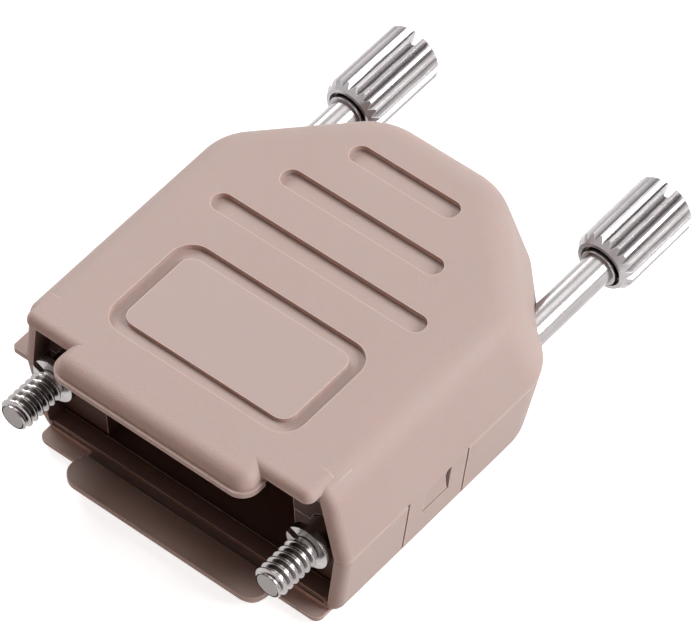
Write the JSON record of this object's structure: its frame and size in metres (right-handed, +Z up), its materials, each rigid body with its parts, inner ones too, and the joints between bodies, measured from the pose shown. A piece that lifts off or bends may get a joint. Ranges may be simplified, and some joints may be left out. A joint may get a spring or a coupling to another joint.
{
  "type": "d-sub hood",
  "caption": "Snap-together plastic hood for a nine-way D-sub connector, with captive jack screws turned by long fluted thumb knobs.",
  "frame": {"origin": "between the two jack screws, on the front face of the connector's flange and on the plane where the shells meet", "axes": "+X across the hood towards its latch, +Y from the mating end towards the cable, +Z up through the labelled face"},
  "size_m": [0.0329, 0.0466, 0.0154],
  "materials": {
    "hood_plastic": "fine spark-eroded texture",
    "screw_steel": "nickel-plated",
    "clip_steel": "bright",
    "clamp_steel": "zinc-plated"
  },
  "bodies": {
    "hood": {"top_shell": "hood_plastic", "bottom_shell": "hood_plastic", "cable_clamp": "clamp_steel", "clamp_screw_left": "clamp_steel", "clamp_screw_right": "clamp_steel"},
    "clip_left": {"retaining_clip_left": "clip_steel"},
    "screw_left": {"jack_screw_left": "screw_steel", "thumb_knob_left": "screw_steel"},
    "clip_right": {"retaining_clip_right": "clip_steel"},
    "screw_right": {"jack_screw_right": "screw_steel", "thumb_knob_right": "screw_steel"}
  },
  "joints": [
    {"name": "screw_slide_left", "type": "slide", "parent": "hood", "child": "clip_left", "axis": [0, -1, 0], "range_m": [-0.0013, 0.005]},
    {"name": "screw_turn_left", "type": "hinge", "parent": "clip_left", "child": "screw_left", "pos_m": [-0.0125, 0, 0], "axis": [0, 1, 0], "continuous": true},
    {"name": "screw_slide_right", "type": "slide", "parent": "hood", "child": "clip_right", "axis": [0, -1, 0], "range_m": [-0.0013, 0.005]},
    {"name": "screw_turn_right", "type": "hinge", "parent": "clip_right", "child": "screw_right", "pos_m": [0.0125, 0, 0], "axis": [0, 1, 0], "continuous": true}
  ]
}
